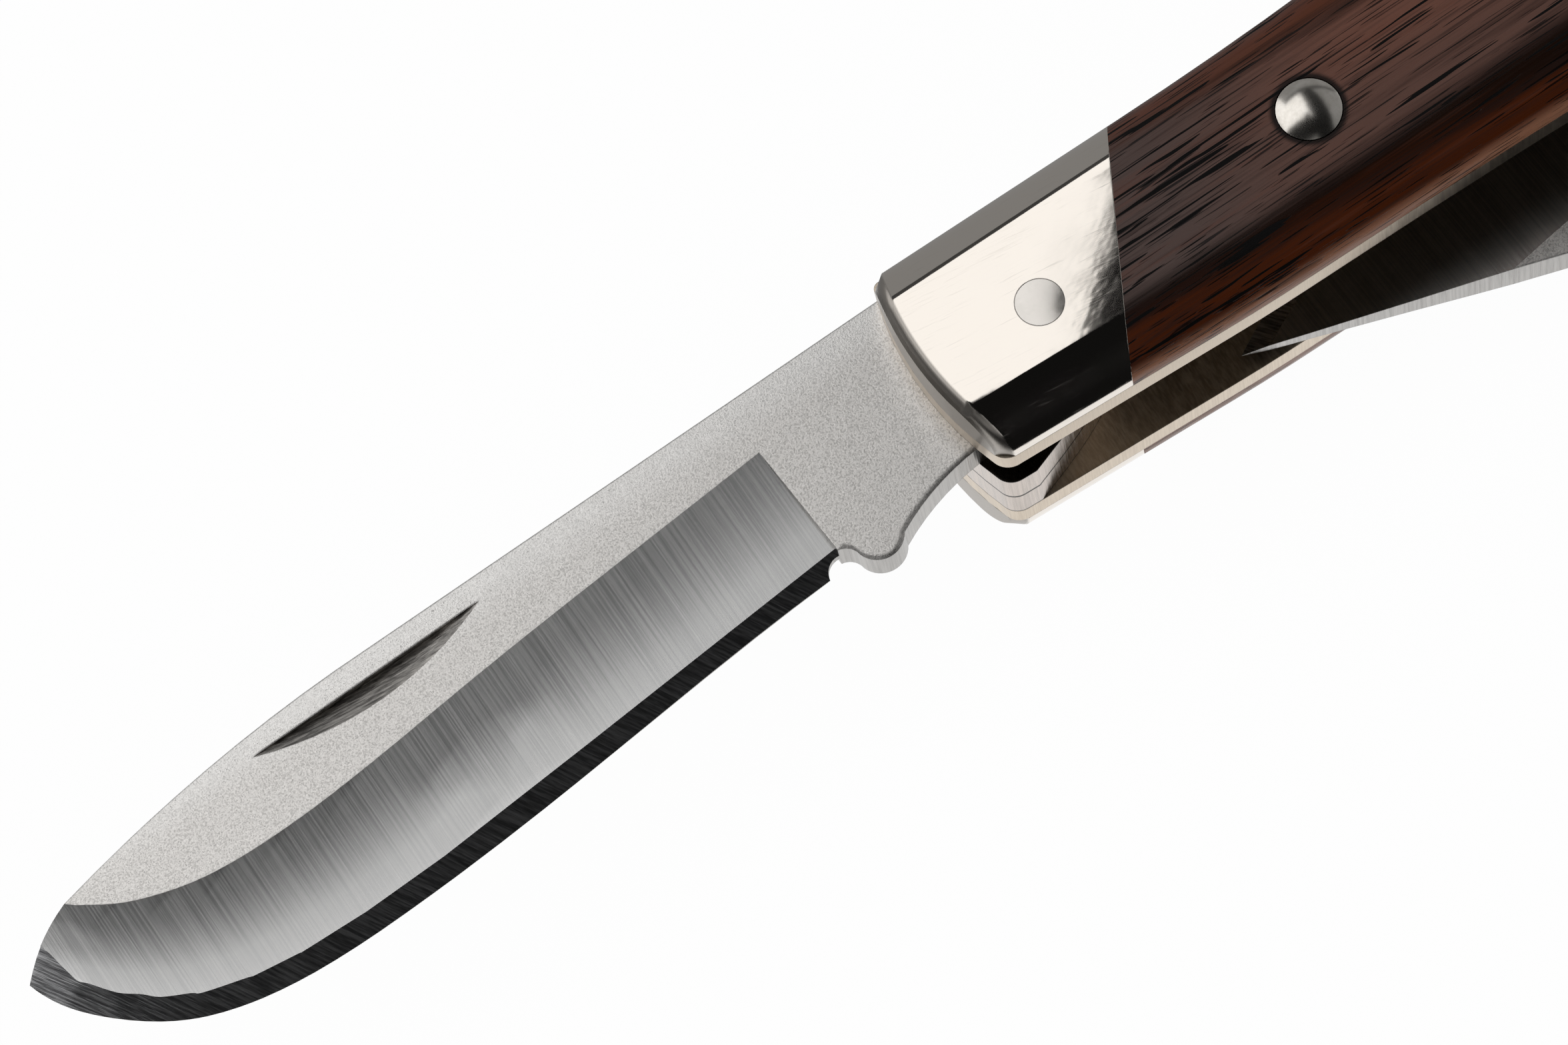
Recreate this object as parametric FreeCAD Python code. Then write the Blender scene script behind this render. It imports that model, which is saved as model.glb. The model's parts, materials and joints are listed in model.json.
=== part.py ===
import FreeCAD
import Part
import math
import os

Vector = FreeCAD.Vector

# Folding pocket knife with three blades on three back springs, in millimetres.
# It lies on its far side: X runs along the handle to the rear, Y to the back, Z up through the layers.
# The origin is on the far scale's flat face, midway between the pivots and on the line through them.

# Handle outline, with heights measured from the pivot line
handle_length = 98.0
pivot_inset = 6.5  # from each end of the handle to its pivot
end_radius = 17.0  # rounding of the two ends, seen from the side
end_apex = 1.55  # height at which the ends reach furthest
back_at_end = 6.2
belly_at_end = 4.95
belly_corner_radius = 1.0
back_corner_radius = 0.4

# Back and belly from an end to the middle: a straight run, a bend and a crown.
# Shares of the run for the three, and the slopes in degrees where they start and end.
back_run_shares = [0.29, 0.24, 0.47]
back_slope_angles = [2.45, 2.45, 5.9, 0]
belly_run_shares = [0.26, 0.10, 0.64]
belly_slope_angles = [0, 0, 2.45, 0]

# Layers, with their blades from the far side to the near side
layers = ["clip", "sheepsfoot", "spey"]
scale_thickness = 2.9
liner_thickness = 1.3
spring_thickness = 2.05
blade_side_clearance = 0.04  # each side of a blade in its layer

# Bolsters and scales
bolster_length = 10.9  # along the pivot line
bolster_slant = 26.5  # degrees, lean of the joint towards the middle
cover_edge_round = 2.7  # along the back and the belly
cover_end_chamfer = 0.6  # round the ends of the bolsters

# Pins and rivets
pin_radius = 1.19
pin_fit = 0.01  # radial play of a fixed pin in its hole
pivot_clearance = 0.03  # radial play of a blade on its pin
spring_pin_drop = 1.75  # from the back of the handle to the middle pin
rivet_head_radius = 1.59
rivet_head_seat = 0.3  # depth of the head's recess in the scale
rivet_dome_height = 0.72  # above the scale
rivet_head_clearance = 0.06
rivet_shank_radius = 0.8
rivet_from_pivot = 15.85
rivet_height = 1.4

# Tangs, in a blade's own axes: along the open blade from its pivot, and towards its spine
tang_flat = 3.2  # from the pivot to each flat
tang_corner_radius = 1.0
tang_shoulder = 3.2  # where the spine steps down to the open flat
closed_flat_run = 1.6
relief_reach = 5.4
relief_height = 3.13
kick_reach = 12.0
kick_nose_radius = 1.3
kick_root_angle = 208.0
kick_front_angle = 340.0
choil_reach = 14.05
choil_depth = 0.78
seat_clearance = 0.03  # between a tang or kick and its spring
spring_end_clearance = 0.1

# Back springs
spring_middle_depth = 3.5
spring_flat_run = 16.0  # flat underside, from the pivot towards the middle
lobe_toe = 3.7  # where the fixed end leaves the belly, ahead of its pivot
# Underside of the fixed end: along from the pivot as shares of the inset, and height as shares of the belly
lobe_shares = [(-0.25, -0.83), (0.26, -0.46), (0.68, 0.10), (1.35, 0.58)]

# Blades
blade_edge_half = 0.24  # half the thickness left by the hollow grind at the edge
hollow_sagitta = 0.14
edge_land_half = 0.025  # half the thickness of the cutting edge itself
bevel_angle = 16.0
bevel_reach = 1.7
heel_reach = 15.0
plunge_reach = 13.95
grind_margin = 1.0  # how far the grind runs past the edge

# Each blade: length from pivot to point, spine height, edge depth and the angle by which it folds.
# Spine shares are of length and spine height, edge shares of length and edge depth, heel first.
# Grind shares are the place along the edge curve and the width of the grind there.
spey_length = 57.2
spey_spine = 6.1
spey_belly = 8.25
spey_fold_angle = 169.0
spey_grind = 7.0
spey_heel_drop = 4.72
spey_point_drop = 1.5
spey_spine_shares = [(0.652, 0.638), (0.768, 0.505), (0.848, 0.357), (0.942, 0.125)]
spey_end_shares = (0.972, -0.02)
spey_edge_shares = [(0.43, 0.727), (0.586, 0.888), (0.70, 0.973), (0.774, 1), (0.843, 0.968),
                    (0.904, 0.844), (0.955, 0.606), (0.984, 0.394)]
spey_grind_shares = [(0, 1), (0.3, 1), (0.5, 0.965), (0.6, 0.94), (0.68, 0.93), (0.74, 0.935), (0.8, 0.955),
                     (0.85, 0.98), (0.9, 1), (0.95, 1), (1, 1)]

clip_point_gap = 8.0  # from the folded point to the front pivot
clip_spine = 6.1
clip_belly = 6.2
clip_fold_angle = 176.0
clip_grind = 9.1
clip_heel_drop = 3.9
clip_point_drop = 1.14
clip_spine_shares = [(0.30, 1.03), (0.60, 1.02), (0.70, 0.985), (0.745, 0.905), (0.80, 0.712)]
clip_end_shares = (0.90, 0.263)
clip_edge_shares = [(0.36, 0.78), (0.55, 0.925), (0.70, 1), (0.80, 0.965), (0.88, 0.78), (0.95, 0.48)]
clip_grind_shares = [(0, 0.72), (0.25, 0.81), (0.5, 0.93), (0.68, 1), (0.8, 1), (0.9, 1), (1, 1)]

sheepsfoot_length = 54.0
sheepsfoot_spine = 6.0
sheepsfoot_belly = 5.4
sheepsfoot_fold_angle = 175.0
sheepsfoot_grind = 6.4
sheepsfoot_heel_drop = 4.1
sheepsfoot_point_drop = 4.9
sheepsfoot_spine_shares = [(0.40, 0.86), (0.66, 0.68), (0.82, 0.41), (0.93, -0.05)]
sheepsfoot_end_shares = (0.982, -0.47)
sheepsfoot_edge_shares = [(0.5, 0.86), (0.72, 0.955), (0.90, 1), (0.97, 0.985)]
sheepsfoot_grind_shares = [(0, 1), (0.35, 1), (0.7, 1), (0.88, 1), (1, 1)]

# Nail nicks: where the straight edge starts and ends, as shares of the length and the spine height
nick_wheel_depth = 0.5
nick_width = 1.3
spey_nick_shares = [(0.519, 0.523), (0.747, 0.367)]
clip_nick_shares = [(0.40, 0.72), (0.60, 0.70)]
sheepsfoot_nick_shares = [(0.42, 0.60), (0.64, 0.46)]

cut_overrun = 3.0  # how far a cutting shape reaches past what it cuts
pick_tolerance = 0.01  # for picking edges by their place

half_length = handle_length / 2
pivot_x = half_length - pivot_inset
clip_length = 2 * pivot_x - clip_point_gap
liner_inner = scale_thickness + liner_thickness
slot_width = len(layers) * spring_thickness
handle_thickness = 2 * liner_inner + slot_width
blade_thickness = spring_thickness - 2 * blade_side_clearance
spring_seat = tang_flat + seat_clearance
up = Vector(0, 0, 1)


def line(start, end):
    return Part.LineSegment(start, end).toShape()


def arc(start, middle, end):
    return Part.Arc(start, middle, end).toShape()


def path(points):
    return [line(start, end) for start, end in zip(points, points[1:])]


def curve(points):
    spline = Part.BSplineCurve()
    spline.interpolate(points)
    return spline


def prism(edges, bottom, height):
    face = Part.Face(Part.Wire(Part.__sortEdges__(edges)))
    face.translate(up * bottom)
    return face.extrude(up * height)


def cylinder(radius, x, y, bottom, height):
    return Part.makeCylinder(radius, height, Vector(x, y, bottom))


def to_other_side(shape):
    return shape.mirror(up * (handle_thickness / 2), up)


def to_other_end(shape):
    return shape.mirror(Vector(0, 0, 0), Vector(1, 0, 0))


# How far the rounded end reaches along X at a height above the pivot line
def end_reach(height):
    return half_length - end_radius + math.sqrt(end_radius ** 2 - (height - end_apex) ** 2)


# Straight or round stretches from the front end to the middle, and the height reached there
def front_half(at_end, run_shares, slope_angles):
    start = Vector(-end_reach(at_end), at_end, 0)
    slopes = [math.radians(angle) for angle in slope_angles]
    edges = []
    for run_share, slope, next_slope in zip(run_shares, slopes, slopes[1:]):
        run = run_share * end_reach(at_end)
        chord = Vector(run, run * math.tan((slope + next_slope) / 2), 0)
        bulge = Vector(chord.y, -chord.x, 0) * (math.tan((next_slope - slope) / 4) / 2)
        end = start + chord
        if slope == next_slope:
            edges.append(line(start, end))
        else:
            edges.append(arc(start, start + chord * 0.5 + bulge, end))
        start = end
    return edges, start.y


def handle_block(bottom, height):
    front_edges = back_half + belly_half
    edges = front_edges + [to_other_end(edge) for edge in front_edges]
    for side in (-1, 1):
        top = Vector(side * end_reach(back_at_end), back_at_end, 0)
        apex = Vector(side * half_length, end_apex, 0)
        low = Vector(side * end_reach(-belly_at_end), -belly_at_end, 0)
        edges.append(arc(top, apex, low))
    return prism(edges, bottom, height)


def is_upright(edge):
    first, last = edge.Vertexes[0].Point, edge.Vertexes[-1].Point
    return math.hypot(first.x - last.x, first.y - last.y) < pick_tolerance


# The handle outline with its four corners rounded
def rounded_block(bottom, height):
    block = handle_block(bottom, height)
    for radius, corner_height in ((belly_corner_radius, -belly_at_end), (back_corner_radius, back_at_end)):
        corner_x = end_reach(corner_height) - pick_tolerance
        uprights = [edge for edge in block.Edges if is_upright(edge) and abs(edge.CenterOfMass.x) > corner_x]
        corners = [edge for edge in uprights if abs(edge.CenterOfMass.y - corner_height) < pick_tolerance]
        block = block.makeFillet(radius, corners)
    return block


# Where the bolster meets the scale at the rear end
def joint_x(height):
    return half_length - bolster_length - height * math.tan(math.radians(bolster_slant))


# Covers of the near side in one piece, flat outside, rounded along the back and belly and eased at the ends
def near_cover():
    bottom = handle_thickness - scale_thickness
    block = handle_block(bottom, scale_thickness)
    end_x = end_reach(-belly_at_end) - pick_tolerance
    outer = [edge for edge in block.Edges if edge.BoundBox.ZMin > handle_thickness - pick_tolerance]
    block = block.makeFillet(cover_edge_round, [edge for edge in outer if abs(edge.CenterOfMass.x) < end_x])
    raised = [edge for edge in block.Edges if edge.BoundBox.ZMax > bottom + pick_tolerance]
    return block.makeChamfer(cover_end_chamfer, [edge for edge in raised if abs(edge.CenterOfMass.x) > end_x])


def rear_region():
    reach_up = back_at_middle + cut_overrun
    reach_down = -belly_at_end - cut_overrun
    far_x = half_length + cut_overrun
    corners = [Vector(joint_x(reach_down), reach_down, 0), Vector(far_x, reach_down, 0),
               Vector(far_x, reach_up, 0), Vector(joint_x(reach_up), reach_up, 0)]
    return prism(path(corners + corners[:1]), -cut_overrun, handle_thickness + 2 * cut_overrun)


def rivet_places():
    return [(side * (pivot_x - rivet_from_pivot), rivet_height) for side in (-1, 1)]


def bolsters(cover):
    region = rear_region()
    hole = cylinder(pin_radius + pin_fit, pivot_x, 0, 0, handle_thickness)
    rear = cover.common(region).cut(hole)
    front = cover.common(to_other_end(region)).cut(to_other_end(hole))
    return front, rear


def scale(cover):
    region = rear_region()
    wood = cover.cut(region).cut(to_other_end(region))
    seat = handle_thickness - rivet_head_seat
    for x, y in rivet_places():
        wood = wood.cut(cylinder(rivet_shank_radius + pin_fit, x, y, 0, handle_thickness))
        wood = wood.cut(cylinder(rivet_head_radius + rivet_head_clearance, x, y, seat, cut_overrun))
    return wood


def liner():
    plate = rounded_block(handle_thickness - liner_inner, liner_thickness)
    holes = [(pin_radius, -pivot_x, 0), (pin_radius, pivot_x, 0), (pin_radius, 0, spring_pin_y)]
    for x, y in rivet_places():
        holes.append((rivet_shank_radius, x, y))
    for radius, x, y in holes:
        plate = plate.cut(cylinder(radius + pin_fit, x, y, 0, handle_thickness))
    return plate


# Domed rivet through a near scale and its liner, revolved about its own axis
def rivet(x, y):
    inner = handle_thickness - liner_inner
    seat = handle_thickness - rivet_head_seat
    rim = Vector(rivet_head_radius, 0, handle_thickness)
    crown = Vector(0, 0, handle_thickness + rivet_dome_height)
    ball = (rivet_head_radius ** 2 + rivet_dome_height ** 2) / (2 * rivet_dome_height)
    half_angle = math.asin(rivet_head_radius / ball) / 2
    shoulder = Vector(ball * math.sin(half_angle), 0, crown.z - ball * (1 - math.cos(half_angle)))
    foot = [Vector(0, 0, inner), Vector(rivet_shank_radius, 0, inner), Vector(rivet_shank_radius, 0, seat),
            Vector(rivet_head_radius, 0, seat), rim]
    edges = path(foot) + [arc(rim, shoulder, crown), line(crown, foot[0])]
    turned = Part.Face(Part.Wire(edges)).revolve(Vector(0, 0, 0), up)
    turned.translate(Vector(x, y, 0))
    return turned


def layer_bottom(name):
    return liner_inner + layers.index(name) * spring_thickness


# Back spring whose free end bears on a tang at the rear, and whose fixed end fills the front of its layer
def rear_spring(name):
    toe = Vector(-pivot_x - lobe_toe, -belly_at_end, 0)
    lobe = [toe]
    for run_share, height_share in lobe_shares:
        lobe.append(Vector(-pivot_x + run_share * pivot_inset, height_share * belly_at_end, 0))
    middle = Vector(0, back_at_middle - spring_middle_depth, 0)
    flat_start = Vector(pivot_x - spring_flat_run, spring_seat, 0)
    under = [curve(lobe).toShape(), arc(lobe[-1], middle, flat_start)]
    end_x = pivot_x + tang_shoulder - spring_end_clearance
    over_y = back_at_middle + cut_overrun
    low_y = -belly_at_end - cut_overrun
    front_x = -half_length - cut_overrun
    corners = [flat_start, Vector(end_x, spring_seat, 0), Vector(end_x, over_y, 0),
               Vector(front_x, over_y, 0), Vector(front_x, low_y, 0), Vector(toe.x, low_y, 0), toe]
    bottom = layer_bottom(name)
    outline = prism(path(corners) + under, bottom, spring_thickness)
    leaf = rounded_block(bottom, spring_thickness).common(outline)
    leaf = leaf.cut(cylinder(pin_radius + pin_fit, -pivot_x, 0, 0, handle_thickness))
    return leaf.cut(cylinder(pin_radius + pin_fit, 0, spring_pin_y, 0, handle_thickness))


# Rounded corner between two tang flats that face along the given unit directions
def tang_corner(first, second):
    centre = (first + second) * ((tang_flat - tang_corner_radius) / (1 + first.dot(second)))
    middle = (first + second).normalize()
    points = [centre + direction * tang_corner_radius for direction in (first, middle, second)]
    return points, arc(*points)


# Outline of the tang from the heel round to the foot of the shoulder, with the end point there
def tang_edges(heel, fold_angle):
    short_of_half_turn = math.radians(180 - fold_angle)
    open_way = Vector(0, 1, 0)
    end_way = Vector(-1, 0, 0)
    closed_way = Vector(-math.sin(short_of_half_turn), -math.cos(short_of_half_turn), 0)
    along_closed = Vector(math.cos(short_of_half_turn), -math.sin(short_of_half_turn), 0)
    nose_lift = tang_flat - kick_nose_radius + kick_reach * math.sin(short_of_half_turn)
    nose = Vector(kick_reach, -nose_lift / math.cos(short_of_half_turn), 0)
    nose_points = []
    for angle in (kick_front_angle, (kick_front_angle + kick_root_angle) / 2, kick_root_angle):
        way = Vector(math.cos(math.radians(angle)), math.sin(math.radians(angle)), 0)
        nose_points.append(nose + way * kick_nose_radius)
    choil = Vector(choil_reach, heel.y + choil_depth, 0)
    flat_start = closed_way * tang_flat + along_closed * closed_flat_run
    lower_points, lower_corner = tang_corner(closed_way, end_way)
    upper_points, upper_corner = tang_corner(end_way, open_way)
    step = Vector(tang_shoulder, tang_flat, 0)
    edges = [arc(heel, choil, nose_points[0]), arc(*nose_points),
             arc(nose_points[2], Vector(relief_reach, -relief_height, 0), flat_start),
             line(flat_start, lower_points[0]), lower_corner,
             line(lower_points[2], upper_points[0]), upper_corner,
             line(upper_points[2], step)]
    return edges, step


# Closed section across the edge in its own axes, inwards from the edge and up from the middle of the blade.
# It starts with an arc through three points where the wheel is round, or with a straight line.
def set_section(first, corners, origin, inwards):
    first = [origin + inwards * a + up * z for a, z in first]
    corners = [origin + inwards * a + up * z for a, z in corners]
    start = arc(*first) if len(first) == 3 else line(*first)
    return Part.Wire([start] + path([first[-1]] + corners + [first[0]]))


# Places along the cutting edge with their inward directions, from ahead of the heel to past the point
def edge_stations(edge_curve, places):
    stations = []
    for place in places:
        parameter = edge_curve.FirstParameter + place * (edge_curve.LastParameter - edge_curve.FirstParameter)
        tangent = Vector(*edge_curve.tangent(parameter)[0]).normalize()
        stations.append((edge_curve.value(parameter), tangent, Vector(-tangent.y, tangent.x, 0)))
    first, first_tangent, first_inwards = stations[0]
    lead = (heel_reach - plunge_reach) / first_tangent.x
    stations[0] = (first - first_tangent * lead, first_tangent, first_inwards)
    last, last_tangent, last_inwards = stations[-1]
    stations.append((last + last_tangent * grind_margin, last_tangent, last_inwards))
    return stations


# Hollow grind of one face: what the wheel takes away, across the blade as it stands at the heel
def hollow_cut(edge_curve, grind_width, grind_shares):
    stations = edge_stations(edge_curve, [place for place, width_share in grind_shares])
    widths = [width_share * grind_width for place, width_share in grind_shares]
    widths.append(widths[-1])
    across = stations[0][2]
    above = blade_thickness
    sections = []
    for (origin, tangent, inwards), width in zip(stations, widths):
        low = (-grind_margin, blade_edge_half)
        high = (width, blade_thickness / 2)
        middle = ((low[0] + high[0]) / 2, (low[1] + high[1]) / 2 - hollow_sagitta)
        corners = [(width, above), (-grind_margin, above)]
        sections.append(set_section([low, middle, high], corners, origin, across))
    return Part.makeLoft(sections, True, True)


# Sharpening bevel of one face
def bevel_cut(edge_curve, grind_shares):
    slope = math.tan(math.radians(bevel_angle))
    above = blade_thickness
    flat = [(reach, edge_land_half + slope * reach) for reach in (-grind_margin, bevel_reach)]
    corners = [(bevel_reach, above), (-grind_margin, above)]
    sections = []
    for origin, tangent, inwards in edge_stations(edge_curve, [place for place, width_share in grind_shares]):
        sections.append(set_section(flat, corners, origin, inwards))
    return Part.makeLoft(sections, True, True)


# Nail nick: a cone-edged wheel leaves a straight wall towards the spine and a slope towards the edge
def nick_cut(length, spine, nick_shares):
    start, end = [Vector(u_share * length, v_share * spine, 0) for u_share, v_share in nick_shares]
    chord = end - start
    along = Vector(chord).normalize()
    towards_edge = Vector(along.y, -along.x, 0)
    wheel = ((chord.Length / 2) ** 2 + nick_wheel_depth ** 2) / (2 * nick_wheel_depth)
    centre = (start + end) * 0.5 + up * (blade_thickness / 2 + wheel - nick_wheel_depth)
    return Part.makeCone(wheel, wheel - nick_wheel_depth, nick_width, centre, towards_edge)


# Blade in its own axes, open along +X, with the pivot at the origin and the nick on its upper face
def blade(length, spine, belly, heel_drop, point_drop, fold_angle, spine_shares, end_shares, edge_shares,
          grind_width, grind_shares, nick_shares):
    heel = Vector(heel_reach, -heel_drop, 0)
    point = Vector(length, -point_drop, 0)
    edge_points = [Vector(u_share * length, -v_share * belly, 0) for u_share, v_share in edge_shares]
    edge_curve = curve([heel] + edge_points + [point])
    spine_points = [Vector(u_share * length, v_share * spine, 0) for u_share, v_share in spine_shares]
    edges, step = tang_edges(heel, fold_angle)
    root = Vector(tang_shoulder, spine, 0)
    way_out = (spine_points[0] - root).normalize()
    spine_curve = Part.BSplineCurve()
    spine_curve.interpolate(Points=spine_points, InitialTangent=way_out)
    end_middle = Vector(end_shares[0] * length, end_shares[1] * spine, 0)
    edges += path([step, root, spine_points[0]]) + [spine_curve.toShape()]
    edges += [curve([spine_points[-1], end_middle, point]).toShape(), edge_curve.toShape()]
    solid = prism(edges, -blade_thickness / 2, blade_thickness)
    solid = solid.cut(cylinder(pin_radius + pivot_clearance, 0, 0, -blade_thickness, 2 * blade_thickness))
    for cutter in (hollow_cut(edge_curve, grind_width, grind_shares), bevel_cut(edge_curve, grind_shares)):
        solid = solid.cut(cutter).cut(cutter.mirror(Vector(0, 0, 0), up))
    return solid.cut(nick_cut(length, spine, nick_shares))


def spey_blade():
    return blade(spey_length, spey_spine, spey_belly, spey_heel_drop, spey_point_drop, spey_fold_angle,
                 spey_spine_shares, spey_end_shares, spey_edge_shares, spey_grind, spey_grind_shares,
                 spey_nick_shares)


def clip_blade():
    solid = blade(clip_length, clip_spine, clip_belly, clip_heel_drop, clip_point_drop, clip_fold_angle,
                  clip_spine_shares, clip_end_shares, clip_edge_shares, clip_grind, clip_grind_shares,
                  clip_nick_shares)
    return solid.mirror(Vector(0, 0, 0), up)


def sheepsfoot_blade():
    return blade(sheepsfoot_length, sheepsfoot_spine, sheepsfoot_belly, sheepsfoot_heel_drop,
                 sheepsfoot_point_drop, sheepsfoot_fold_angle, sheepsfoot_spine_shares, sheepsfoot_end_shares,
                 sheepsfoot_edge_shares, sheepsfoot_grind, sheepsfoot_grind_shares, sheepsfoot_nick_shares)


# A blade in its layer: open at the front end, or folded at the rear end
def open_at_front(solid, name):
    placed = to_other_end(solid)
    placed.translate(Vector(-pivot_x, 0, layer_bottom(name) + spring_thickness / 2))
    return placed


def folded_at_rear(solid, name, fold_angle):
    solid.rotate(Vector(0, 0, 0), up, -fold_angle)
    solid.translate(Vector(pivot_x, 0, layer_bottom(name) + spring_thickness / 2))
    return solid


def build():
    cover = near_cover()
    front_bolster, rear_bolster = bolsters(cover)
    near_scale = scale(cover)
    near_liner = liner()
    front_place, rear_place = rivet_places()
    front_rivet = rivet(*front_place)
    rear_rivet = rivet(*rear_place)
    nodes = {
        "near_front_bolster": front_bolster,
        "near_rear_bolster": rear_bolster,
        "near_scale": near_scale,
        "near_liner": near_liner,
        "near_front_rivet": front_rivet,
        "near_rear_rivet": rear_rivet,
        "far_front_bolster": to_other_side(front_bolster),
        "far_rear_bolster": to_other_side(rear_bolster),
        "far_scale": to_other_side(near_scale),
        "far_liner": to_other_side(near_liner),
        "far_front_rivet": to_other_side(front_rivet),
        "far_rear_rivet": to_other_side(rear_rivet),
        "front_pivot_pin": cylinder(pin_radius, -pivot_x, 0, 0, handle_thickness),
        "rear_pivot_pin": cylinder(pin_radius, pivot_x, 0, 0, handle_thickness),
        "spring_pin": cylinder(pin_radius, 0, spring_pin_y, scale_thickness,
                               handle_thickness - 2 * scale_thickness),
        "spey_spring": to_other_end(rear_spring("spey")),
        "sheepsfoot_spring": rear_spring("sheepsfoot"),
        "clip_spring": rear_spring("clip"),
        "spey_blade": open_at_front(spey_blade(), "spey"),
        "sheepsfoot_blade": folded_at_rear(sheepsfoot_blade(), "sheepsfoot", sheepsfoot_fold_angle),
        "clip_blade": folded_at_rear(clip_blade(), "clip", clip_fold_angle),
    }
    os.makedirs("parts", exist_ok=True)
    for name, shape in nodes.items():
        shape.exportStep("parts/" + name + ".step")
        print(name, len(shape.Solids), shape.isValid(), round(shape.Volume, 2))


back_half, back_at_middle = front_half(back_at_end, back_run_shares, back_slope_angles)
belly_half = front_half(-belly_at_end, belly_run_shares, belly_slope_angles)[0]
spring_pin_y = back_at_middle - spring_pin_drop
build()
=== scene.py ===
import json
import math

import bmesh
import bpy
from mathutils import Matrix, Vector


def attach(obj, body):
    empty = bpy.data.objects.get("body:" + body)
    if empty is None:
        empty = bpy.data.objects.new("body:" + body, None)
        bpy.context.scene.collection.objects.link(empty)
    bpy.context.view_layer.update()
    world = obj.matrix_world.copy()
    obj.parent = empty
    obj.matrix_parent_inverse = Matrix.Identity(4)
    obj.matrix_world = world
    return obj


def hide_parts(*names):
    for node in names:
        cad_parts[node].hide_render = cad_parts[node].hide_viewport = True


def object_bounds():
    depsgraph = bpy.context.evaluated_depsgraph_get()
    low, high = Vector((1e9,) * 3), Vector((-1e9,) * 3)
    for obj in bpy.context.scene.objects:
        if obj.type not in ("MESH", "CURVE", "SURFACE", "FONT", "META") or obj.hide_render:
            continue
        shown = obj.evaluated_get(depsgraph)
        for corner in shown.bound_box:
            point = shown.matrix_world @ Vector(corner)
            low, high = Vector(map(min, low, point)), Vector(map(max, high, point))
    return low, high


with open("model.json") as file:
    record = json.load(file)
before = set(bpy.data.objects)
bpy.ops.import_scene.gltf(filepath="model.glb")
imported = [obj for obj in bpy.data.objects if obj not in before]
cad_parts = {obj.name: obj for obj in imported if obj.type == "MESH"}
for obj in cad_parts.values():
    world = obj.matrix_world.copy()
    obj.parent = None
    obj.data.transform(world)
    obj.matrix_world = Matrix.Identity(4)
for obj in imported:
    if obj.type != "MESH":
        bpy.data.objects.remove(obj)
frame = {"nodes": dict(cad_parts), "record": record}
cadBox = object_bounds()
scene = bpy.context.scene
pivots = {joint["child"]: joint["pos_m"][0] for joint in frame["record"]["behaviour"]["joints"]}
print("frame loaded:", len(frame["nodes"]), "nodes")

# Sizes that several pieces share, in millimetres: half the handle, the middle of its layers, its rounded ends
knife = {"half": 49.0, "pivot": 1000 * pivots["clip"], "middle": 7.275, "endRadius": 17.0, "endApex": 1.55}
noiseSpread = (0.3, 0.7)  # nearly all of a noise lies between these


# A node's output. Sums and products of wires add Math nodes to the same tree.
class Wire:
    def __init__(self, socket):
        self.socket = socket
        self.tree = socket.id_data

    def node(self, kind, settings={}, sockets={}, output=0):
        made = self.tree.nodes.new(kind)
        for key, value in settings.items():
            setattr(made, key, value)
        for key, value in sockets.items():
            if isinstance(value, Wire):
                self.tree.links.new(value.socket, made.inputs[key])
            else:
                made.inputs[key].default_value = value
        return Wire(made.outputs[output])

    def maths(self, operation, first, second=0):
        return self.node("ShaderNodeMath", {"operation": operation}, {0: first, 1: second})

    def __add__(self, other):
        return self.maths("ADD", self, other)

    def __radd__(self, other):
        return self.maths("ADD", other, self)

    def __sub__(self, other):
        return self.maths("SUBTRACT", self, other)

    def __rsub__(self, other):
        return self.maths("SUBTRACT", other, self)

    def __mul__(self, other):
        return self.maths("MULTIPLY", self, other)

    def __rmul__(self, other):
        return self.maths("MULTIPLY", other, self)

    def __truediv__(self, other):
        return self.maths("DIVIDE", self, other)

    def __rtruediv__(self, other):
        return self.maths("DIVIDE", other, self)

    def __abs__(self):
        return self.maths("ABSOLUTE", self)

    def root(self):
        return self.maths("SQRT", self)


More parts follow.
